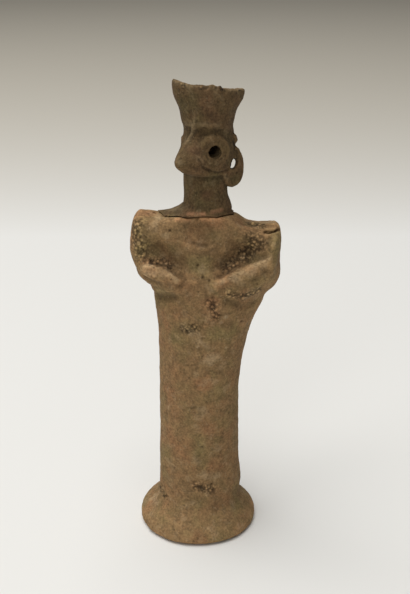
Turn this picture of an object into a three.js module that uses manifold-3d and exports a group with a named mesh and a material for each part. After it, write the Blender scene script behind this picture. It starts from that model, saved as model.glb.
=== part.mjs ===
// A handmade terracotta votive figurine: a pillar body on a flared foot, short arms folded to the front,
// and a pinched bird-like head with pierced eyes and ears under a flaring headdress.
// Millimetres, +Z up, chest towards -Y. The head looks towards the figure's own right.
// It once broke at the root of the neck, so it is two pieces of clay set back over a fine open crack.
import * as THREE from "three";
import { mergeVertices } from "three/addons/utils/BufferGeometryUtils.js";
import Module from "manifold-3d";

const wasm = await Module();
wasm.setup();

// Driving dimensions
const FOOT_WIDTH = 48;
const COLUMN_WIDTH = 31.6;
const SHOULDER_WIDTH = 56.6;
const NECK_WIDTH = 16.4;
const HEAD_WIDTH = 20;
const CROWN_WIDTH = 18.4;
const SHOULDER_HEIGHT = 133;
const JAW_HEIGHT = 149.5;
const EYE_HEIGHT = 157.4;
const BROW_HEIGHT = 167;
const RIM_HEIGHT = 178.8;
const HEAD_TURN = THREE.MathUtils.degToRad(-34);
const HEAD_OFFSET = 1;
const FOOT_OFFSET = -2.9;
const LEFT_SHOULDER_DROP = 4.8;
const RIGHT_SHOULDER_LIFT = 1.2;
const CRACK_HEIGHT = 131.8;
const CRACK_WIDTH = 0.35;

// How finely the clay is faceted
const BODY_SIDES = 60;
const HEAD_SIDES = 40;
const BORE_SIDES = 16;
const CRACK_STEP = 5;

const BODY_CLAY = new THREE.MeshStandardMaterial({ color: 0x86694a, roughness: 0.95, metalness: 0 });
const HEAD_CLAY = new THREE.MeshStandardMaterial({ color: 0x6a5840, roughness: 0.95, metalness: 0 });

const foot = FOOT_WIDTH / 2;
const column = COLUMN_WIDTH / 2;
const shoulder = SHOULDER_WIDTH / 2;
const neck = NECK_WIDTH / 2;
const head = HEAD_WIDTH / 2;
const crown = CROWN_WIDTH / 2;

// Sections of the foot, column, torso and neck, from the floor up.
// z is the height, x the middle, wide the half width, front and back the reach from the upright axis.
// bend is the power of the outline, 2 for an ellipse and more for a squarer one, and rings how many
// sections are worked out from here to the next one.
const BODY_SECTIONS = [
  { z: 0, x: -2.7, wide: foot - 0.5, front: 24, back: 19, bend: 2.1, rings: 1 },
  { z: 1.1, x: -2.9, wide: foot, front: 25, back: 20, bend: 2.1, rings: 1 },
  { z: 3.8, x: -3.2, wide: foot - 0.3, front: 24.5, back: 19.6, bend: 2.1, rings: 2 },
  { z: 7.4, x: -3.3, wide: foot - 3.5, front: 21.8, back: 17.6, bend: 2.1, rings: 2 },
  { z: 11.4, x: -2.9, wide: foot - 7.2, front: 17.6, back: 15.4, bend: 2, rings: 2 },
  { z: 17, x: -2, wide: column + 1.1, front: 15.6, back: 14.8, bend: 2, rings: 2 },
  { z: 28, x: -2.4, wide: column + 0.4, front: 15, back: 14, bend: 2, rings: 2 },
  { z: 60, x: -2.3, wide: column, front: 14.4, back: 13.4, bend: 2, rings: 2 },
  { z: 76, x: -1.5, wide: column + 0.9, front: 14, back: 13, bend: 2, rings: 2 },
  { z: 89, x: 0, wide: column + 2.6, front: 14, back: 12.6, bend: 2.1, rings: 3 },
  { z: 98, x: 1.3, wide: column + 5, front: 14.2, back: 12, bend: 2.2, rings: 2 },
  { z: 102, x: 1.9, wide: column + 5.8, front: 14, back: 11.7, bend: 2.3, rings: 1 },
  { z: 104.5, x: 2.9, wide: shoulder - 4.7, front: 13.8, back: 11.4, bend: 2.4, rings: 2 },
  { z: 108.5, x: 1.5, wide: shoulder - 1.2, front: 13.5, back: 11.2, bend: 2.6, rings: 2 },
  { z: 112, x: 0.9, wide: shoulder - 0.9, front: 13.1, back: 10.9, bend: 2.7, rings: 3 },
  { z: 119, x: 0.1, wide: shoulder - 0.1, front: 12, back: 10.2, bend: 3, rings: 4 },
  { z: 127, x: 0.7, wide: shoulder - 0.5, front: 10.6, back: 9.4, bend: 3, rings: 2 },
  { z: 131.2, x: 1, wide: shoulder - 1.8, front: 9.6, back: 8.4, bend: 2.8, rings: 2 },
  { z: SHOULDER_HEIGHT, x: -0.4, wide: shoulder - 6, front: 9.8, back: 8, bend: 2.4, rings: 2 },
  { z: 134, x: -2.2, wide: 13, front: 10, back: 8, bend: 2.1, rings: 2 },
  { z: 136.4, x: 0.9, wide: 9.1, front: 9, back: 8.2, bend: 2, rings: 1 },
  { z: 140, x: 0.3, wide: neck - 0.1, front: 8.5, back: 8.4, bend: 2, rings: 2 },
  { z: JAW_HEIGHT + 2, x: 0, wide: neck, front: 8, back: 8, bend: 2, rings: 1 },
];

// Sections of the head and headdress, in the head's own frame with the beak towards -Y.
// pinch is the power of the outline in front, where under 2 draws the cheeks together to the beak.
const HEAD_SECTIONS = [
  { z: JAW_HEIGHT - 2.2, wide: 7, front: 7, back: 6.6, pinch: 2, bend: 2, rings: 1 },
  { z: JAW_HEIGHT - 0.8, wide: 8.4, front: 10.6, back: 7.6, pinch: 1.8, bend: 2, rings: 1 },
  { z: JAW_HEIGHT + 1, wide: head - 0.8, front: 15.2, back: 8.4, pinch: 1.45, bend: 2, rings: 1 },
  { z: JAW_HEIGHT + 3, wide: head - 0.3, front: 18.3, back: 9.2, pinch: 1.3, bend: 2, rings: 2 },
  { z: JAW_HEIGHT + 5.2, wide: head, front: 20.4, back: 9.8, pinch: 1.25, bend: 2, rings: 2 },
  { z: EYE_HEIGHT, wide: head, front: 16.7, back: 10, pinch: 1.25, bend: 2, rings: 2 },
  { z: EYE_HEIGHT + 2.4, wide: head - 0.3, front: 12.6, back: 10.3, pinch: 1.4, bend: 2, rings: 2 },
  { z: EYE_HEIGHT + 4.8, wide: head - 1, front: 9, back: 10.6, pinch: 1.8, bend: 2, rings: 2 },
  { z: BROW_HEIGHT - 2, wide: crown - 0.2, front: 8.7, back: 9.6, pinch: 2, bend: 2, rings: 2 },
  { z: BROW_HEIGHT, wide: crown + 0.3, front: 9.8, back: 9.6, pinch: 2, bend: 2, rings: 2 },
  { z: BROW_HEIGHT + 4, wide: crown + 0.8, front: 9.9, back: 9.9, pinch: 2.1, bend: 2.1, rings: 2 },
  { z: RIM_HEIGHT - 4, wide: crown + 1.8, front: 11, back: 10.9, pinch: 2.2, bend: 2.2, rings: 2 },
  { z: RIM_HEIGHT - 0.7, wide: crown + 1.4, front: 11, back: 10.8, pinch: 2.2, bend: 2.2, rings: 1 },
  { z: RIM_HEIGHT, wide: crown + 0.6, front: 10.2, back: 10, pinch: 2.2, bend: 2.2, rings: 1 },
  { z: RIM_HEIGHT - 0.8, wide: crown - 1.2, front: 8.4, back: 8.2, pinch: 2.2, bend: 2.2, rings: 1 },
  { z: RIM_HEIGHT - 3.4, wide: crown - 4.4, front: 5.2, back: 5, pinch: 2, bend: 2, rings: 1 },
  { z: RIM_HEIGHT - 4.2, wide: crown - 7.6, front: 2, back: 2, pinch: 2, bend: 2, rings: 1 },
];

// The four corners of the headdress are drawn out into horns. The one at the front left has broken away.
// angle is measured round the head from +X and spread is how far round it the horn is felt.
// reach is how far the horn stands out and rise how far up.
const HORNS = [
  { name: "front right", angle: 229, spread: 30, reach: 2.1, rise: 1.9 },
  { name: "front left", angle: 316, spread: 18, reach: 0.4, rise: 0.9 },
  { name: "back left", angle: 48, spread: 21, reach: 3, rise: 0.4 },
  { name: "back right", angle: 138, spread: 22, reach: 2.6, rise: 0 },
];
const HORN_ROOT = BROW_HEIGHT - 1;
const RIM_LEAN = 0.2;

// Where the torso was pinched and pressed by hand, as runs between two points that fade over a radius.
// A height below 0 is a hollow. Each bent arm has an upper arm, a forearm and a hollow behind it.
const TORSO_FORMS = [
  { name: "right upper arm", from: [-26, -6, 130], to: [-25, -8, 117], radius: 7, height: 2 },
  { name: "right forearm", from: [-21, -10, 113], to: [-12, -14, 109.5], radius: 6.5, height: 4.2 },
  { name: "right hollow", from: [-16.5, -10, 121], to: [-10.5, -12, 115.5], radius: 7.5, height: -3.2 },
  { name: "left upper arm", from: [24.5, -8, 127], to: [24, -9, 118], radius: 6.5, height: 3.4 },
  { name: "left forearm", from: [22, -10, 112.8], to: [8, -14, 108.5], radius: 7.8, height: 4.4 },
  { name: "left hollow", from: [14, -10, 120], to: [7, -12, 115], radius: 7.5, height: -3.8 },
  { name: "left armpit", from: [17, -10, 125], to: [13, -10, 124], radius: 6.5, height: -1.6 },
  { name: "throat", from: [-3, -11, 129], to: [1, -11, 126.5], radius: 7.5, height: -1.4 },
];

// How far the top of the shoulders lies over or under its sections, from the right arm to the left one.
const SHOULDER_LINE = [
  { x: -29, rise: 0.1 },
  { x: -25, rise: RIGHT_SHOULDER_LIFT },
  { x: -22.5, rise: -0.4 },
  { x: -20, rise: -1.6 },
  { x: -17.5, rise: -1.5 },
  { x: -15, rise: -2 },
  { x: -10, rise: -1.2 },
  { x: -6, rise: 0 },
  { x: 5, rise: 0 },
  { x: 10.5, rise: -2.1 },
  { x: 17, rise: -LEFT_SHOULDER_DROP - 1.3 },
  { x: 20, rise: -LEFT_SHOULDER_DROP - 0.4 },
  { x: 23.5, rise: -LEFT_SHOULDER_DROP + 0.2 },
  { x: 26, rise: -LEFT_SHOULDER_DROP + 1.3 },
  { x: 29, rise: -LEFT_SHOULDER_DROP + 2 },
];

// An eye is a disc of clay laid on the cheek and pierced by a reed. The right one is smaller.
const EYE = { x: 7.4, y: -6.3, facing: THREE.MathUtils.degToRad(55), thick: 3.4 };
const LEFT_DISC_RADIUS = 6.6;
const RIGHT_DISC_RADIUS = 4.5;
const EYE_BORE = { radius: 2.45, deep: 7.5 };

// An ear is a flap pinched flat that hangs to the neck, pierced for a ring.
// Its outline is across and up from the hole.
const EAR = { x: 9.8, y: 2.6, z: 151.6, facing: THREE.MathUtils.degToRad(73.5), thick: 2.1 };
const EAR_BORE_RADIUS = 2.05;
const EAR_OUTLINE = [
  [-5.5, 3],
  [-2, 7.2],
  [1.9, 6],
  [4.6, 1.6],
  [5.2, -4],
  [3.2, -7.8],
  [-1, -8.8],
  [-4, -6],
];

// A closed shape as a solid that can be cut and joined.
function solidOf(geometry) {
  const bare = geometry.clone();
  bare.deleteAttribute("normal");
  bare.deleteAttribute("uv");
  const merged = mergeVertices(bare, 1e-3);
  return new wasm.Manifold(
    new wasm.Mesh({
      numProp: 3,
      vertProperties: new Float32Array(merged.attributes.position.array),
      triVerts: new Uint32Array(merged.index.array),
    }),
  );
}

// A solid as a named mesh of the scene.
function meshOf(name, solid, material) {
  const { vertProperties, triVerts } = solid.getMesh();
  const geometry = new THREE.BufferGeometry();
  geometry.setAttribute("position", new THREE.BufferAttribute(vertProperties, 3));
  geometry.setIndex(new THREE.BufferAttribute(triVerts, 1));
  geometry.computeVertexNormals();
  const mesh = new THREE.Mesh(geometry, material);
  mesh.name = name;
  return mesh;
}

// The sections given, with the ones between them worked out smoothly.
function smoothSections(sections) {
  const keys = Object.keys(sections[0]);
  const stations = sections.map((section, index) => index);
  const values = sections.flatMap((section) => keys.map((key) => section[key]));
  const between = new THREE.CubicInterpolant(stations, values, keys.length);
  const places = sections.slice(0, -1).flatMap((section, index) => {
    return Array.from({ length: section.rings }, (unused, k) => index + k / section.rings);
  });
  return [...places, sections.length - 1].map((place) => {
    const found = Array.from(between.evaluate(place));
    return Object.fromEntries(keys.map((key, k) => [key, found[k]]));
  });
}

// A turned form whose rings take the outlines of their sections and are then shaped point by point.
function turnedForm(sections, sides, shape) {
  const rings = smoothSections(sections);
  const profile = rings.map((ring, index) => new THREE.Vector2(1, index));
  const start = new THREE.Vector2(0, 0);
  const end = new THREE.Vector2(0, rings.length - 1);
  const geometry = new THREE.LatheGeometry([start, ...profile, end], sides);
  const position = geometry.attributes.position;
  const point = new THREE.Vector3();
  for (let i = 0; i < position.count; i++) {
    point.fromBufferAttribute(position, i);
    const ring = rings[Math.round(point.y)];
    const across = point.x;
    const along = -point.z;
    const isFront = along < 0;
    const power = 2 / (isFront && ring.pinch ? ring.pinch : ring.bend);
    const x = Math.sign(across) * Math.abs(across) ** power * ring.wide;
    const y = Math.sign(along) * Math.abs(along) ** power * (isFront ? ring.front : ring.back);
    point.set(x + (ring.x ?? 0), y, ring.z);
    shape(point);
    position.setXYZ(i, point.x, point.y, point.z);
  }
  return geometry;
}

// 1 at the middle of a press, falling smoothly to 0 at its radius.
function fade(distance, radius) {
  return 1 - THREE.MathUtils.smoothstep(distance, 0, radius);
}

// How far the top of the shoulders is lifted at a place between the arms.
const shoulderRise = new THREE.CubicInterpolant(
  SHOULDER_LINE.map((stop) => stop.x),
  SHOULDER_LINE.map((stop) => stop.rise),
  1,
);

// Pushes a point of the torso out or in by the forms near it, and sets the slope of the shoulders.
function shapeTorso(point) {
  const out = new THREE.Vector3(point.x * 0.1, point.y, 0).normalize();
  const nearest = new THREE.Vector3();
  let push = 0;
  for (const form of TORSO_FORMS) {
    const run = new THREE.Line3(new THREE.Vector3(...form.from), new THREE.Vector3(...form.to));
    run.closestPointToPoint(point, true, nearest);
    push += form.height * fade(nearest.distanceTo(point), form.radius);
  }
  point.addScaledVector(out, push);
  const top = THREE.MathUtils.smoothstep(point.z, 116, 131) - THREE.MathUtils.smoothstep(point.z, 136, 144);
  point.z += top * shoulderRise.evaluate(point.x)[0];
}

// Draws out the corners of the headdress and leans its rim back.
function shapeHead(point) {
  const radius = Math.hypot(point.x, point.y);
  const lift = THREE.MathUtils.clamp((point.z - HORN_ROOT) / (RIM_HEIGHT - HORN_ROOT), 0, 1) ** 1.6;
  const outer = THREE.MathUtils.smoothstep(radius, 3, 9);
  const angle = THREE.MathUtils.radToDeg(Math.atan2(point.y, point.x));
  point.z -= RIM_LEAN * point.y * lift;
  for (const horn of HORNS) {
    const off = THREE.MathUtils.euclideanModulo(angle - horn.angle + 180, 360) - 180;
    const near = Math.exp(-((off / horn.spread) ** 2)) * lift * outer;
    const scale = radius > 0 ? 1 + (horn.reach * near) / radius : 1;
    point.x *= scale;
    point.y *= scale;
    point.z += horn.rise * near;
  }
}

// Sets a shape made along +Z on the side of the head, facing out at an angle from the beak.
function setOnSide(geometry, side, place, height) {
  geometry.rotateX(Math.PI / 2);
  geometry.rotateZ(side * place.facing);
  geometry.translate(side * place.x, place.y, height);
  return solidOf(geometry);
}

// The disc laid round an eye, its edge sloping into the cheek.
function eyeDisc(side) {
  const radius = side > 0 ? LEFT_DISC_RADIUS : RIGHT_DISC_RADIUS;
  const disc = new THREE.CylinderGeometry(radius - 0.9, radius + 0.5, EYE.thick, 24);
  disc.rotateX(Math.PI / 2);
  disc.translate(0, 0, -EYE.thick / 2);
  return setOnSide(disc, side, EYE, EYE_HEIGHT);
}

// The blind hole left by the reed.
function eyeBore(side) {
  const bore = new THREE.CylinderGeometry(EYE_BORE.radius, EYE_BORE.radius - 0.4, EYE_BORE.deep, BORE_SIDES);
  bore.rotateX(Math.PI / 2);
  bore.translate(0, 0, 1 - EYE_BORE.deep / 2);
  return setOnSide(bore, side, EYE, EYE_HEIGHT);
}

// The flap of an ear, with its edges rounded.
function earFlap(side) {
  const points = EAR_OUTLINE.map(([across, up]) => new THREE.Vector3(side * across, up, 0));
  const curve = new THREE.CatmullRomCurve3(points, true);
  const shape = new THREE.Shape(curve.getPoints(18).slice(0, -1).map((p) => new THREE.Vector2(p.x, p.y)));
  const bevel = 0.6;
  const flap = new THREE.ExtrudeGeometry(shape, {
    depth: EAR.thick - 2 * bevel,
    bevelThickness: bevel,
    bevelSize: bevel,
    bevelOffset: -bevel,
    bevelSegments: 2,
  });
  flap.translate(0, 0, bevel - EAR.thick);
  return setOnSide(flap, side, EAR, EAR.z);
}

// The hole through an ear.
function earBore(side) {
  const bore = new THREE.CylinderGeometry(EAR_BORE_RADIUS, EAR_BORE_RADIUS, EAR.thick * 3, BORE_SIDES);
  bore.rotateX(Math.PI / 2);
  bore.translate(0, 0, -EAR.thick / 2);
  return setOnSide(bore, side, EAR, EAR.z);
}

// The height of the break at a place: it slopes down to the back, runs out over the right shoulder and
// dips to the left one.
function crackHeight(x, y) {
  const slope = CRACK_HEIGHT - 0.17 * y + 0.03 * x;
  const wave = 0.22 * Math.sin(x * 0.55 + 1) + 0.2 * Math.sin(x * 1.1 - y * 0.5);
  const rightEnd = 5 * THREE.MathUtils.smoothstep(-x, 17.5, 24);
  const leftEnd = 1.4 * THREE.MathUtils.smoothstep(x, 8, 14);
  return slope + wave + rightEnd - leftEnd;
}

// A block with one face shaped as the break, lying above it or below it.
function breakBlock(isAbove) {
  const span = 80;
  const farFace = isAbove ? 260 : -20;
  const gap = isAbove ? CRACK_WIDTH / 2 : -CRACK_WIDTH / 2;
  const steps = span / CRACK_STEP;
  const block = new THREE.BoxGeometry(span, span, span, steps, steps, 1);
  const position = block.attributes.position;
  for (let i = 0; i < position.count; i++) {
    const x = position.getX(i);
    const y = position.getY(i);
    const isBreak = position.getZ(i) < 0 === isAbove;
    position.setZ(i, isBreak ? crackHeight(x, y) + gap : farFace);
  }
  return solidOf(block);
}

// The head with its discs and flaps joined on and its holes cut, turned on the neck.
function headSolid() {
  let solid = solidOf(turnedForm(HEAD_SECTIONS, HEAD_SIDES, shapeHead));
  for (const side of [1, -1]) {
    solid = solid.add(eyeDisc(side)).add(earFlap(side));
  }
  for (const side of [1, -1]) {
    solid = solid.subtract(eyeBore(side)).subtract(earBore(side));
  }
  return solid.rotate([0, 0, THREE.MathUtils.radToDeg(HEAD_TURN)]).translate([HEAD_OFFSET, 0, 0]);
}

// The whole figure, parted at the break, with its origin under the middle of the foot.
function figurine() {
  const whole = solidOf(turnedForm(BODY_SECTIONS, BODY_SIDES, shapeTorso)).add(headSolid());
  const group = new THREE.Group();
  group.add(meshOf("body", whole.intersect(breakBlock(false)), BODY_CLAY));
  group.add(meshOf("head_and_neck", whole.intersect(breakBlock(true)), HEAD_CLAY));
  group.position.x = -FOOT_OFFSET;
  return group;
}

export default figurine();
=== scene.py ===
import math
import random

import bmesh
import bpy
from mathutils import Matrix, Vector, noise
from mathutils.bvhtree import BVHTree
from mathutils.kdtree import KDTree


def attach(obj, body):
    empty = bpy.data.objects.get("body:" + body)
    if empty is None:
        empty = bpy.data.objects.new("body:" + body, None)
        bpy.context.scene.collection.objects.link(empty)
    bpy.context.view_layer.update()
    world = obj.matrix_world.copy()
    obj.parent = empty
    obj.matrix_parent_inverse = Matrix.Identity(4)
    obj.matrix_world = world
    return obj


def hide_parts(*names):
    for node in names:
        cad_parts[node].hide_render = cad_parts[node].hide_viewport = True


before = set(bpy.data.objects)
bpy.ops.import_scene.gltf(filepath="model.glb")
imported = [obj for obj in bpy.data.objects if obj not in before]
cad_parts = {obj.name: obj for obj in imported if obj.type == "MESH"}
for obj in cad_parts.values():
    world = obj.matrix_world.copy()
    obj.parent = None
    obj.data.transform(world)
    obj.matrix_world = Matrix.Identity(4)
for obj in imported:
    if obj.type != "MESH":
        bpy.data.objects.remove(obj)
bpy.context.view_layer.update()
mm = 0.001

# The camera is a telephoto held about 0.4 m from the figurine and looking down on it.
# A pixel of the 410 by 594 photograph stands for a line of sight, which finds a mark's place on the clay.
PHOTO_WIDE, PHOTO_HIGH = 410, 594
FILM = 36.0
FOCAL_PIXELS = 960
CAMERA_PLACE = Vector((2.9, -342.4, 239.7)) * mm
CAMERA_DIP = math.radians(22.46)

camera = bpy.data.objects.new("camera", bpy.data.cameras.new("camera"))
camera.data.lens = FILM * FOCAL_PIXELS / PHOTO_HIGH
camera.data.sensor_width = FILM
camera.data.clip_start = 10 * mm
camera.location = CAMERA_PLACE
camera.rotation_euler = (math.radians(90) - CAMERA_DIP, 0, 0)
bpy.context.collection.objects.link(camera)
bpy.context.scene.camera = camera
bpy.context.scene.view_settings.view_transform = "Standard"


def line_of_sight(px, py):
    right = Vector((1, 0, 0))
    ahead = Vector((0, math.cos(CAMERA_DIP), -math.sin(CAMERA_DIP)))
    up = right.cross(ahead)
    aside = (px - PHOTO_WIDE / 2) / FOCAL_PIXELS
    above = (PHOTO_HIGH / 2 - py) / FOCAL_PIXELS
    return (ahead + right * aside + up * above).normalized()


# What the figurine stands on is a wide pale sheet, and painted shade turns it to warm grey well behind it.
# It is a flat grid, and only its colour changes with the distance.
SHEET_SIZE = 9.0
SHEET_WHITE = (0.82, 0.81, 0.775)
SHEET_SHADED_GREY = (0.56, 0.52, 0.44)
TURNS_GREY_FROM = 0.36
TURNS_GREY_OVER = 0.25


def clay_shader(name):
    """A new material with only a Principled shader, its node tree and that shader."""
    material = bpy.data.materials.new(name)
    material.use_nodes = True
    return material, material.node_tree, material.node_tree.nodes["Principled BSDF"]


def feed(tree, socket, value):
    """Links an output to a socket, or sets the socket to a value."""
    if isinstance(value, bpy.types.NodeSocket):
        tree.links.new(value, socket)
    else:
        socket.default_value = value


def sum_of(tree, operation, first, second=0.0):
    node = tree.nodes.new("ShaderNodeMath")
    node.operation = operation
    feed(tree, node.inputs[0], first)
    feed(tree, node.inputs[1], second)
    return node.outputs[0]


def blend(tree, amount, first, second, kind="MIX"):
    """Two colours mixed by an amount from 0 to 1."""
    node = tree.nodes.new("ShaderNodeMix")
    node.data_type = "RGBA"
    node.blend_type = kind
    feed(tree, node.inputs["Factor"], amount)
    feed(tree, node.inputs[6], first)
    feed(tree, node.inputs[7], second)
    return node.outputs[2]


def own_place(tree):
    return tree.nodes.new("ShaderNodeTexCoord").outputs["Object"]


mesh = bpy.data.meshes.new("sheet")
shape = bmesh.new()
bmesh.ops.create_grid(shape, x_segments=2, y_segments=2, size=SHEET_SIZE / 2)
shape.to_mesh(mesh)
shape.free()
sheet = bpy.data.objects.new("sheet", mesh)
bpy.context.collection.objects.link(sheet)
material, tree, shader = clay_shader("pale_sheet")
apart = tree.nodes.new("ShaderNodeSeparateXYZ")
tree.links.new(own_place(tree), apart.inputs["Vector"])
# Painted shade: the sheet's colour darkens to warm grey with the distance behind.
behind = sum_of(tree, "MAXIMUM", sum_of(tree, "SUBTRACT", apart.outputs["Y"], TURNS_GREY_FROM), 0)
still_white = sum_of(tree, "EXPONENT", sum_of(tree, "DIVIDE", behind, -TURNS_GREY_OVER))
colour = blend(tree, still_white, (*SHEET_SHADED_GREY, 1), (*SHEET_WHITE, 1))
tree.links.new(colour, shader.inputs["Base Color"])
shader.inputs["Roughness"].default_value = 0.9
shader.inputs["Specular IOR Level"].default_value = 0.2
mesh.materials.append(material)

# The light is a broad soft lamp overhead, a little behind and to the left, so that tops are bright.
# A weaker one comes in over the camera, and the sheet and the room throw back the rest.
LAMPS = (
    ("overhead", (-0.5, 0.0, 2.1), 2.0, 50),
    ("window", (-0.35, -1.5, 1.3), 0.9, 6),
)
GLOW_COLOUR = (1.0, 0.98, 0.94)
GLOW_STRENGTH = 0.12

for name, place, size, watts in LAMPS:
    lamp = bpy.data.objects.new(name, bpy.data.lights.new(name, "AREA"))
    lamp.data.size = size
    lamp.data.energy = watts
    lamp.location = place
    lamp.rotation_euler = (Vector((0, 0, 0.09)) - lamp.location).to_track_quat("-Z", "Y").to_euler()
    bpy.context.collection.objects.link(lamp)
world = bpy.data.worlds.new("glow")
world.use_nodes = True
world.node_tree.nodes["Background"].inputs["Color"].default_value = (*GLOW_COLOUR, 1)
world.node_tree.nodes["Background"].inputs["Strength"].default_value = GLOW_STRENGTH
bpy.context.scene.world = world

# The body is solid clay drawn up by hand into a pillar on a flared foot, with pinched and folded arms.
# It was fired without a glaze, and its skin shows finger dents, grit, pits and worn high places.
BODY_GRAIN = 0.5 * mm
COLUMN_FROM, COLUMN_TO = 16 * mm, 96 * mm
EDGE_ROUND, EDGE_TUCK = 1.8 * mm, 1.3 * mm
LIFT = Vector((0, 0, 1))
LAYERS = ("raised", "crumbled", "reddish", "olive", "pale", "fresh", "dark_stain_and_shade")


def fade(distance, width):
    """1 at the middle of a mark, falling smoothly to 0 at its edge."""
    t = max(0.0, 1 - distance / width)
    return t * t * (3 - 2 * t)


def ripple(place, length, seed):
    """Smooth noise of about -1 to 1 whose waves are a length apart."""
    return noise.noise(place / length + Vector((seed, seed * 1.7, -seed)))


def drawn_out(place, across, along, seed):
    """Noise in streaks that run up and down, as a smoothing hand leaves them."""
    return noise.noise(Vector((place.x / across, place.y / across, place.z / along + seed)))


class Clay:
    """A fine copy of a CAD piece that is pressed, scored and pitted before it becomes an object."""

    def __init__(self, node, grain, neighbour):
        coarse = bpy.data.meshes.new(node + "_coarse")
        shape = bmesh.new()
        shape.from_mesh(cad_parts[node].data)
        bmesh.ops.remove_doubles(shape, verts=shape.verts, dist=0.001 * mm)
        shape.to_mesh(coarse)
        shape.free()
        self.piece = bpy.data.objects.new(node + "_clay", coarse)
        bpy.context.collection.objects.link(self.piece)
        remesh = self.piece.modifiers.new("grain", "REMESH")
        remesh.mode = "VOXEL"
        remesh.voxel_size = grain
        graph = bpy.context.evaluated_depsgraph_get()
        fine = bpy.data.meshes.new_from_object(self.piece.evaluated_get(graph))
        self.piece.modifiers.clear()
        self.piece.data = fine
        bpy.data.meshes.remove(coarse)
        self.node = node
        self.grain = grain
        self.shape = bmesh.new()
        self.shape.from_mesh(fine)
        self.layers = {name: self.shape.verts.layers.float.new(name) for name in LAYERS}
        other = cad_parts[neighbour].data
        corners = [vert.co for vert in other.vertices]
        self.across_break = BVHTree.FromPolygons(corners, [face.vertices for face in other.polygons])
        self.refresh()

    def refresh(self):
        """Takes stock of where the surface is now."""
        self.shape.normal_update()
        self.shape.verts.ensure_lookup_table()
        self.tree = BVHTree.FromBMesh(self.shape)
        self.near = KDTree(len(self.shape.verts))
        for vert in self.shape.verts:
            self.near.insert(vert.co, vert.index)
        self.near.balance()

    def off_break(self, place, width):
        """0 at the break between the two pieces, rising to 1 at a width from it."""
        distance = self.across_break.find_nearest(place, width)[3]
        return 1 - fade(distance, width) if distance is not None else 1.0

    def smooth(self, times, chosen=None):
        verts = [vert for vert in self.shape.verts if chosen is None or chosen(vert.co)]
        for _ in range(times):
            bmesh.ops.smooth_vert(
                self.shape, verts=verts, factor=0.5, use_axis_x=True, use_axis_y=True, use_axis_z=True
            )
        self.refresh()

    def seen_at(self, px, py):
        """The place on the clay behind a pixel of the photograph."""
        hit = self.tree.ray_cast(CAMERA_PLACE, line_of_sight(px, py))[0]
        return hit or CAMERA_PLACE

    def reach(self, places, width):
        """The points near a run of places, each with a weight that fades to 0 over the width."""
        weights = {}
        for start, end in zip(places, places[1:] or places):
            steps = max(1, round((end - start).length / (0.6 * self.grain)))
            for step in range(steps + 1):
                place = start.lerp(end, step / steps)
                for _, index, distance in self.near.find_range(place, width):
                    weights[index] = max(weights.get(index, 0), fade(distance, width))
        return weights

    def press(self, places, width, height, push=None):
        """Raises or sinks a run of places, along the normals or along a push."""
        for index, weight in self.reach(places, width).items():
            vert = self.shape.verts[index]
            vert.co += (push or vert.normal) * height * weight

    def draw(self, pixels, width, height, push=None):
        """Presses along a line of the photograph; width and height are in millimetres."""
        self.press([self.seen_at(*pixel) for pixel in pixels], width * mm, height * mm, push)

    def tint(self, name, pixels, width, strength=1.0):
        """Paints a run of pixels into a layer, fading out over a width in millimetres."""
        layer = self.layers[name]
        for index, weight in self.reach([self.seen_at(*pixel) for pixel in pixels], width * mm).items():
            vert = self.shape.verts[index]
            vert[layer] = max(vert[layer], strength * weight)

    def pit(self, place, width, depth, dark):
        """A hole whose bottom is painted dark as shade, its sizes in millimetres."""
        layer = self.layers["dark_stain_and_shade"]
        for index, weight in self.reach([place], width * mm).items():
            vert = self.shape.verts[index]
            vert.co -= vert.normal * depth * mm * weight
            vert[layer] = max(vert[layer], dark * weight)

    def soften(self, pixels, width, times):
        """Rubs down the clay along a run of pixels."""
        chosen = [self.shape.verts[i] for i in self.reach([self.seen_at(*p) for p in pixels], width * mm)]
        for _ in range(times):
            bmesh.ops.smooth_vert(
                self.shape, verts=chosen, factor=0.5, use_axis_x=True, use_axis_y=True, use_axis_z=True
            )

    def roughen(self, height_at):
        """Moves every point along its normal by a height in millimetres."""
        moves = [vert.normal * height_at(vert) * mm for vert in self.shape.verts]
        for vert, move in zip(self.shape.verts, moves):
            vert.co += move

    def pits(self, count, seed, allowed):
        """Scatters small pits, where burnt-out straw and lost grit left holes."""
        dice = random.Random(seed)
        while count:
            vert = self.shape.verts[dice.randrange(len(self.shape.verts))]
            if allowed(vert.co):
                self.pit(vert.co.copy(), dice.uniform(0.55, 1.1), dice.uniform(0.2, 0.6), dice.uniform(0.2, 0.8))
                count -= 1

    def note_relief(self, times, full):
        """Writes how far each point stands out of, or lies in, the broader surface round it."""
        layer = self.layers["raised"]
        self.shape.normal_update()
        kept = [vert.co.copy() for vert in self.shape.verts]
        for _ in range(times):
            bmesh.ops.smooth_vert(
                self.shape,
                verts=self.shape.verts,
                factor=0.5,
                use_axis_x=True,
                use_axis_y=True,
                use_axis_z=True,
            )
        for vert, place in zip(self.shape.verts, kept):
            vert[layer] = max(-1.0, min(1.0, (place - vert.co).dot(vert.normal) / full))
        for vert, place in zip(self.shape.verts, kept):
            vert.co = place

    def finish(self, material):
        mesh = self.piece.data
        self.shape.to_mesh(mesh)
        self.shape.free()
        mesh.materials.clear()
        mesh.materials.append(material)
        mesh.shade_smooth()
        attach(self.piece, "root")
        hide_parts(self.node)


body = Clay("body", BODY_GRAIN, "head_and_neck")
body.smooth(16, lambda place: body.off_break(place, 1.6 * mm) == 1)
body.smooth(2)
for vert in body.shape.verts:
    if vert.co.z < EDGE_ROUND:
        tuck = (1 - max(0, vert.co.z) / EDGE_ROUND) ** 2
        vert.co -= Vector((vert.co.x, vert.co.y, 0)).normalized() * EDGE_TUCK * tuck
body.refresh()

# The shoulder line has a corner over the figure's right arm and a notch where the break ends.
body.draw(((141, 210.5),), 1.8, 0.45, LIFT)
body.draw(((154, 212.5),), 1.3, -0.6, LIFT)

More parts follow.
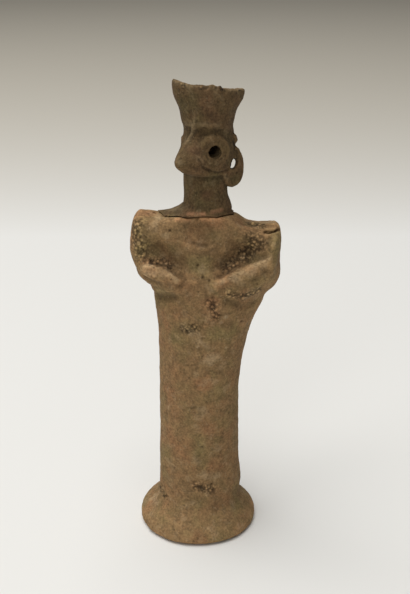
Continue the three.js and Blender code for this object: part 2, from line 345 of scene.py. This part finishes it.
# Folded arms: each forearm is a ridge with a dark hollow behind it, a dip under it and, under that,
# a low swelling of the body that ends in a crease.
for hollow, step, crest, dip, swelling, crease in (
    (
        ((157, 251), (164, 257), (172, 264)),
        ((153, 262), (162, 265), (172, 270), (179, 276)),
        ((147, 266), (160, 271), (172, 277), (178, 281)),
        ((146, 279), (156, 284), (166, 285), (178, 287)),
        ((153, 288), (160, 290), (172, 289.5)),
        ((158, 297), (166, 298), (174, 297)),
    ),
    (
        ((250, 254), (240, 260), (228, 265)),
        ((264, 257), (252, 260), (240, 265), (230, 270), (220, 277)),
        ((268, 260), (254, 266), (242, 272), (230, 277), (220, 281.5)),
        ((266, 273), (256, 280.5), (243, 286), (230, 287.5), (222, 288)),
        ((257, 291), (243, 297), (229, 294.5)),
        ((221, 293), (226, 300), (234, 304), (244, 307), (254, 303)),
    ),
):
    body.draw(hollow, 4.6, -0.7)
    body.draw(step, 2.1, -0.6)
    body.draw(crest, 2.4, 0.6)
    body.draw(dip, 3.4, -1.1)
    body.draw(swelling, 2.2, 0.5)
    body.draw(crease, 2.4, -0.6)
body.draw(((181.5, 274), (184, 281), (182, 288)), 1.6, -0.5)
body.refresh()

# The figure's left shoulder is folded over: an upper lip, a slit under it and a lower lip.
body.draw(((252, 224), (262, 225), (275, 225)), 2.2, 0.5)
body.draw(((274, 221.5),), 1.4, 0.3)
body.draw(((256, 229.5), (265, 231)), 1.6, -0.35)
slit = ((265, 231.6), (270, 232), (275, 231.2), (279.4, 229.6))
body.draw(slit, 0.95, -1.7)
body.draw(((266, 236.8), (272, 235.4), (279, 233)), 1.1, 0.6)
body.draw(((270, 237.5), (269.5, 250)), 1.3, -0.4)
body.draw(((276.5, 238), (273.5, 246), (271.5, 258)), 1.6, 0.4)

# The upper edge of the break is chipped, and it gapes at the figure's right end.
for pixel, width in (
    ((161, 216.6), 0.9),
    ((171, 218.8), 1.1),
    ((178, 218.4), 0.8),
    ((187, 218.8), 0.7),
    ((197, 219), 1.0),
    ((208, 218.6), 0.8),
    ((217, 218.4), 1.2),
    ((228, 217), 0.8),
):
    body.draw((pixel,), width, -0.45)
body.draw(((154.2, 210), (155.6, 212.4)), 0.9, -0.8)

# Scars on the chest and the small marks of tools and fingertips.
body.draw(((193.8, 243), (200, 245.4), (206.8, 246.6)), 1.3, -0.5)
body.draw(((200, 249), (207, 248.6), (214.4, 246)), 1.3, 0.6)
body.draw(((178.6, 241.6), (184, 244), (190, 246.4)), 1.1, 0.35)
body.draw(((186, 246.5), (192, 249)), 1.0, 0.2)
body.draw(((190, 281.6), (193, 283), (195.5, 282.5)), 1.5, 0.45)
body.draw(((205.7, 290), (206.8, 300)), 1.0, -0.25)
body.draw(((213, 296), (215, 312)), 0.9, -0.2)
body.draw(((166.3, 395), (166.5, 425)), 1.3, -0.2)
body.draw(((143, 518), (146, 522)), 1.6, -0.5)
body.refresh()

DEEP_PITS = (
    (169.8, 230.6), (197.9, 265.5), (202.6, 277.1), (209.2, 280.7), (252, 226.2),
    (241.8, 321.4), (198.6, 488), (211.7, 484.3), (166.7, 496.1), (162.2, 485.7),
)
FAINT_PITS = (
    (202, 339.2), (219.3, 339.4), (203.5, 321.9), (193.6, 324.9), (187.2, 332.4), (187.9, 365.4),
    (191.8, 365.4), (165.4, 369.1), (204.1, 376), (196.8, 387.3), (206.3, 402.5), (229.3, 395.5),
    (200.5, 434.8), (202.2, 447), (180.4, 440.9), (184.2, 505.3), (169.7, 460.5), (236.4, 501.6),
)
for pixel in DEEP_PITS:
    body.pit(body.seen_at(*pixel), 0.8, 0.6, 1.0)
for pixel in FAINT_PITS:
    body.pit(body.seen_at(*pixel), 0.7, 0.35, 0.4)
body.pits(50, 11, lambda place: place.y > -4 * mm and 4 * mm < place.z < 126 * mm)

# Where the skin has crumbled away the clay is sandy.
for run, width in (
    (((250, 240), (260, 244), (252, 250), (242, 254)), 6.0),
    (((246, 258), (234, 262), (226, 268)), 4.5),
    (((136, 226), (137, 240), (143, 256)), 6.0),
    (((150, 262), (162, 262), (170, 266)), 3.6),
    (((228, 294), (244, 297), (258, 291)), 3.6),
    (((250, 223), (262, 225)), 4.0),
    (((210, 302), (216, 316)), 4.0),
    (((185, 330), (196, 328)), 4.0),
    (((160, 486), (166, 496)), 3.0),
    (((196, 486), (212, 490)), 4.0),
):
    body.tint("crumbled", run, width)


def body_relief(vert):
    place = vert.co
    hand = 0.3 * ripple(place, 19 * mm, 3) + 0.22 * ripple(place, 7 * mm, 5) + 0.13 * ripple(place, 2.8 * mm, 8)
    if COLUMN_FROM < place.z < COLUMN_TO:
        hand += 0.07 * drawn_out(place, 2.4 * mm, 30 * mm, 4)
    crumble = vert[body.layers["crumbled"]]
    sand = 0.09 + 0.3 * crumble
    grains = ripple(place, 1.25 * mm, 2) + 0.5 * ripple(place, 2.1 * mm, 6)
    foot_calm = min(1.0, max(0, place.z) / EDGE_ROUND)
    return (hand + sand * min(grains, 0.35)) * body.off_break(place, 2.5 * mm) * foot_calm


body.roughen(body_relief)
body.note_relief(30, 0.28 * mm)

# Patches that fired redder, stains of olive earth, lime, a dark stain over the chest and fresh chips along the break,
# with painted shade in the hollows, dips, creases and slit and down the outer side of the figure's left arm, and
# painted highlights on the forearm crests, the shoulder top and the foot.
for name, width, runs in (
    (
        "reddish",
        5.5,
        (
            ((160, 332), (166, 330)),
            ((211, 302), (216, 316)),
            ((196, 380), (205, 387)),
            ((168, 392), (172, 407)),
            ((170, 432), (184, 458)),
            ((211, 427),),
            ((213, 465), (226, 468)),
            ((144, 266), (148, 272)),
            ((138, 213), (147, 214)),
            ((226, 281), (218, 286)),
            ((207, 222), (217, 220)),
            ((148, 510), (152, 500)),
        ),
    ),
    (
        "olive",
        5.5,
        (
            ((217, 332), (226, 338)),
            ((157, 300), (166, 312)),
            ((196, 442), (204, 466)),
            ((239, 508),),
            ((140, 240), (137, 228)),
            # This olive run down the outer side of the figure's left arm is painted shade.
            ((275, 245), (276, 262)),
            ((190, 262), (206, 262)),
        ),
    ),
    (
        "pale",
        4.5,
        (
            ((186, 328), (202, 342)),
            ((204, 358), (212, 358)),
            ((205, 477), (214, 477)),
            # These three pale runs are painted highlights where the light falls on the foot's upper left and on the
            # two forearm crests.
            ((150, 500), (158, 494)),
            ((262, 264), (240, 273), (224, 281)),
            ((148, 265), (160, 271), (172, 279)),
            ((246, 298), (256, 293)),
            # This pale run is a painted highlight on the top of the folded shoulder.
            ((254, 222), (270, 222)),
            ((156, 224), (158, 219)),
        ),
    ),
    # A dark stain over the chest that also lays painted shade into the hollows beside it.
    (
        "dark_stain_and_shade",
        9.0,
        (
            ((190, 228), (208, 236), (214, 250)),
            ((172, 250), (180, 262), (196, 258)),
            ((222, 262), (236, 254), (232, 240)),
        ),
    ),
    # Painted shade in the hollows behind the forearms, the dips under them and the creases below.
    (
        "dark_stain_and_shade",
        4.0,
        (
            ((160, 256), (167, 262), (173, 269)),
            ((222, 272), (236, 264), (250, 256)),
            ((264, 252), (268, 254)),
            ((146, 280), (156, 284), (176, 286)),
            ((264, 274), (254, 281), (243, 286), (226, 288)),
            ((158, 298), (172, 297)),
            ((226, 301), (236, 305), (246, 306)),
        ),
    ),
    ("fresh", 1.6, (((176, 219.5), (190, 220)), ((202, 219.5), (221, 219)), ((148, 212), (156, 214)))),
):
    strength = 0.22 if name == "dark_stain_and_shade" else 1
    for run in runs:
        body.tint(name, run, width, strength)
# Painted shade in the slit under the folded shoulder.
body.tint("dark_stain_and_shade", slit, 0.8, 1.3)
for pixel in ((197.9, 347.4), (225.8, 347.4), (225.8, 317.1), (221.5, 323.2), (274, 222)):
    body.tint("pale", (pixel,), 1.3, 2.0)


def noise_of(tree, length, detail=2.0, stretch=(1, 1, 1)):
    """A noise of 0 to 1 whose waves are a length apart on the clay."""
    turn = tree.nodes.new("ShaderNodeMapping")
    turn.inputs["Scale"].default_value = stretch
    tree.links.new(own_place(tree), turn.inputs["Vector"])
    node = tree.nodes.new("ShaderNodeTexNoise")
    node.inputs["Scale"].default_value = 1 / length
    node.inputs["Detail"].default_value = detail
    tree.links.new(turn.outputs["Vector"], node.inputs["Vector"])
    return node.outputs["Fac"]


def between(tree, value, low, high, new_low=0.0, new_high=1.0):
    """Stretches a value from one range to another and keeps it inside."""
    node = tree.nodes.new("ShaderNodeMapRange")
    feed(tree, node.inputs["Value"], value)
    for socket, number in zip(node.inputs[1:5], (low, high, new_low, new_high)):
        socket.default_value = number
    return node.outputs["Result"]


def layer_of(tree, name):
    node = tree.nodes.new("ShaderNodeAttribute")
    node.attribute_name = name
    return node.outputs["Fac"]


def patchy(tree, name, length, low, high):
    """A painted layer broken up by noise, plus the same colour in places where the noise runs high."""
    cloud = noise_of(tree, length, 3)
    return between(tree, sum_of(tree, "ADD", cloud, sum_of(tree, "MULTIPLY", layer_of(tree, name), 0.22)), low, high)


def grains_of(tree, size):
    """Loose grains: 0 in the middle of each one, rising to about 0.7 in the gaps between them."""
    node = tree.nodes.new("ShaderNodeTexVoronoi")
    node.inputs["Scale"].default_value = 1 / size
    tree.links.new(own_place(tree), node.inputs["Vector"])
    return node.outputs["Distance"]


def clay_skin(name, brown, red, olive, pale, dark, fresh):
    """Fired clay: patches of four tints, fine mottling, lime specks, dark pores, high places lighter as wear and
    painted highlight, and painted shade in the hollows.
    """
    material, tree, shader = clay_shader(name)
    crumbled = layer_of(tree, "crumbled")
    colour = blend(tree, patchy(tree, "olive", 9 * mm, 0.45, 0.75), (*brown, 1), (*olive, 1))
    colour = blend(tree, patchy(tree, "reddish", 7 * mm, 0.48, 0.8), colour, (*red, 1))
    colour = blend(tree, patchy(tree, "pale", 4 * mm, 0.55, 0.95), colour, (*pale, 1))
    colour = blend(tree, between(tree, layer_of(tree, "fresh"), 0.1, 1, 0, 0.8), colour, (*fresh, 1))
    fine = sum_of(tree, "SUBTRACT", noise_of(tree, 0.8 * mm, 3), 0.5)
    coarse = sum_of(tree, "SUBTRACT", noise_of(tree, 2.8 * mm, 2), 0.5)
    contrast = sum_of(tree, "ADD", sum_of(tree, "MULTIPLY", crumbled, 1.2), 1.5)
    light = sum_of(tree, "ADD", sum_of(tree, "MULTIPLY", fine, contrast), sum_of(tree, "MULTIPLY", coarse, 0.9))
    # High places are lighter, partly as wear and partly as painted highlight, and hollows darker as painted shade, by
    # how far each point stands out of the surface round it.
    wear_highlight_and_hollow_shade = between(tree, layer_of(tree, "raised"), -1, 1, 0.68, 1.32)
    light = sum_of(tree, "MULTIPLY", sum_of(tree, "ADD", light, 1), wear_highlight_and_hollow_shade)
    grains = between(tree, grains_of(tree, 1.3 * mm), 0.15, 0.6, 0.45, -0.65)
    loose = between(tree, crumbled, 0.25, 0.9)
    light = sum_of(tree, "MULTIPLY", light, sum_of(tree, "ADD", sum_of(tree, "MULTIPLY", grains, loose), 1))
    grey = tree.nodes.new("ShaderNodeCombineColor")
    for socket in grey.inputs:
        tree.links.new(light, socket)
    colour = blend(tree, 1.0, colour, grey.outputs[0], "MULTIPLY")
    colour = blend(tree, between(tree, noise_of(tree, 0.9 * mm, 1), 0.66, 0.74, 0, 0.55), colour, (*pale, 1))
    pores = between(tree, noise_of(tree, 1.1 * mm, 1, (1, 1, 0.7)), 0.3, 0.22, 0, 0.5)
    colour = blend(tree, pores, colour, (*dark, 1))
    # Dark stains and painted shade from the layer darken the colour.
    colour = blend(tree, between(tree, layer_of(tree, "dark_stain_and_shade"), 0, 1, 0, 0.85), colour, (*dark, 1))
    tree.links.new(colour, shader.inputs["Base Color"])
    shader.inputs["Roughness"].default_value = 0.92
    shader.inputs["Specular IOR Level"].default_value = 0.25
    bump = tree.nodes.new("ShaderNodeBump")
    bump.inputs["Strength"].default_value = 0.9
    bump.inputs["Distance"].default_value = 0.32 * mm
    height = sum_of(tree, "ADD", noise_of(tree, 0.9 * mm, 3), sum_of(tree, "MULTIPLY", noise_of(tree, 0.35 * mm), 0.4))
    tree.links.new(sum_of(tree, "SUBTRACT", height, pores), bump.inputs["Height"])
    tree.links.new(bump.outputs["Normal"], shader.inputs["Normal"])
    return material


body_clay = clay_skin(
    "body_clay",
    brown=(0.245, 0.15, 0.068),
    red=(0.285, 0.153, 0.07),
    olive=(0.222, 0.157, 0.066),
    pale=(0.37, 0.262, 0.145),
    dark=(0.06, 0.033, 0.014),
    fresh=(0.38, 0.2, 0.095),
)
body.finish(body_clay)

# The head and neck came off at the break and were set back.
# Its clay is darker, the eye is a disc pressed on and pierced, and the headdress rim has lost a corner.
HEAD_GRAIN = 0.28 * mm
EYE_SEEN = (214.7, 152.6)
head = Clay("head_and_neck", HEAD_GRAIN, "body")
head.smooth(9, lambda place: head.off_break(place, 1.2 * mm) == 1)
head.smooth(2)

# Nose, brow and the edge of the headdress over them.
head.draw(((193.5, 128), (190, 137), (184.5, 146.5), (179, 155), (177, 161)), 1.3, 0.5)
head.draw(((193, 127.5), (205, 125.6), (218, 124.6), (231, 128)), 1.5, 0.2)
head.draw(((200, 140), (203, 134.5)), 1.6, -0.3)
head.draw(((212, 130), (220, 130.5)), 1.4, -0.3)
head.draw(((186, 125.4), (196, 124.6), (206, 124.2)), 0.9, 0.25)
head.draw(((194.3, 112), (194.7, 125)), 0.8, 0.2)

# The disc's lower edge, the jaw under it and the rings scored round the eye.
head.draw(((199, 160), (203.5, 167.5), (210, 171), (217, 172.7), (224, 171.8), (229, 169.4)), 1.0, -0.4)
head.draw(((203, 168), (211, 171)), 0.9, -0.25)
head.draw(((187, 167), (197, 173), (207, 175)), 1.4, 0.25)
head.draw(((227, 160), (229, 168), (227, 176)), 1.0, -0.2)
head.soften(((204, 137), (212, 133), (222, 134), (229, 140)), 2.2, 14)
for ring, height in ((9.0, -0.12), (11.0, 0.12), (13.2, -0.12), (15.5, 0.1)):
    turns = [math.radians(angle) for angle in range(30, 161, 10)]
    arc = [(EYE_SEEN[0] + ring * math.cos(turn), EYE_SEEN[1] + ring * math.sin(turn)) for turn in turns]
    head.draw(arc, 0.5, height)
rim = [math.radians(angle) for angle in range(0, 361, 30)]
head.draw([(EYE_SEEN[0] + 5.9 * math.cos(turn), EYE_SEEN[1] + 5.9 * math.sin(turn)) for turn in rim], 0.7, -0.4)
head.draw(((234, 136.5), (234.8, 140)), 1.7, 1.0)
head.draw(((237, 173),), 1.0, -0.4)

# The broken corner of the rim is ragged.
for pixel, width, lift in (((202.3, 86), 1.2, 0.5), ((212, 86.5), 1.6, 0.4), ((220.5, 87.5), 1.2, 0.5)):
    head.draw((pixel,), width, lift, LIFT)
for pixel, width, sink in (((207, 88), 0.9, -0.4), ((216, 88), 0.8, -0.4), ((226, 91), 1.2, -0.4)):
    head.draw((pixel,), width, sink)
for foot_of, top_of in (((190, 118), (188, 98)), ((207, 120), (207, 96)), ((216, 121), (219, 98)), ((226, 118), (230, 99))):
    head.draw((foot_of, top_of), 0.9, -0.12)
for run in (((172, 82), (184, 86)), ((201, 88), (222, 89)), ((240, 90), (245, 92)), ((233, 141), (237, 160))):
    head.tint("crumbled", run, 1.6)
head.refresh()
head.pits(14, 5, lambda place: place.z > 138 * mm and place.y > 0)


def head_relief(vert):
    place = vert.co
    hand = 0.16 * ripple(place, 9 * mm, 4) + 0.1 * ripple(place, 4 * mm, 7) + 0.05 * ripple(place, 1.6 * mm, 9)
    if place.z > 166 * mm:
        hand += 0.07 * drawn_out(place, 1.5 * mm, 14 * mm, 6)
    return (hand + 0.06 * min(ripple(place, 0.8 * mm, 3), 0.3)) * head.off_break(place, 2.5 * mm)


head.roughen(head_relief)
head.note_relief(40, 0.16 * mm)
for name, width, runs in (
    ("reddish", 4.0, (((222, 205), (232, 210)), ((208, 100), (214, 118)), ((205, 196),), ((196, 150), (200, 158)))),
    ("olive", 4.0, (((198, 190), (198, 200)), ((178, 95), (184, 110)), ((207, 180), (222, 178)), ((194, 98), (197, 118)))),
    # Along the nose's lit left side, along its crest and on the up-facing root of the neck the pale runs are painted
    # highlights, and the root's clay is paler too; the last run is a paler patch on the forehead band.
    ("pale", 2.6, (((176, 156), (178, 163)), ((185, 143), (192, 130)), ((168, 210), (182, 209)), ((186, 124), (205, 124)))),
    ("pale", 2.0, (((175, 81), (186, 85)), ((226, 90), (238, 89)), ((194.3, 113), (194.7, 124)), ((189, 178), (192, 186)))),
    # Painted shade in the brow socket and in the groove under the disc; the other dark runs darken the clay between
    # the disc and the ear and on the crown.
    ("dark_stain_and_shade", 2.6, (((231, 146), (233, 158)), ((215, 129),), ((206, 169),), ((211, 116), (214, 121)))),
    ("fresh", 1.4, (((188, 214), (204, 214)), ((212, 212), (222, 210)))),
):
    strength = 0.25 if name == "dark_stain_and_shade" else 1
    for run in runs:
        head.tint(name, run, width, strength)
head_clay = clay_skin(
    "head_clay",
    brown=(0.108, 0.066, 0.029),
    red=(0.12, 0.067, 0.032),
    olive=(0.102, 0.072, 0.03),
    pale=(0.2, 0.144, 0.078),
    dark=(0.035, 0.02, 0.01),
    fresh=(0.3, 0.155, 0.078),
)
head.finish(head_clay)
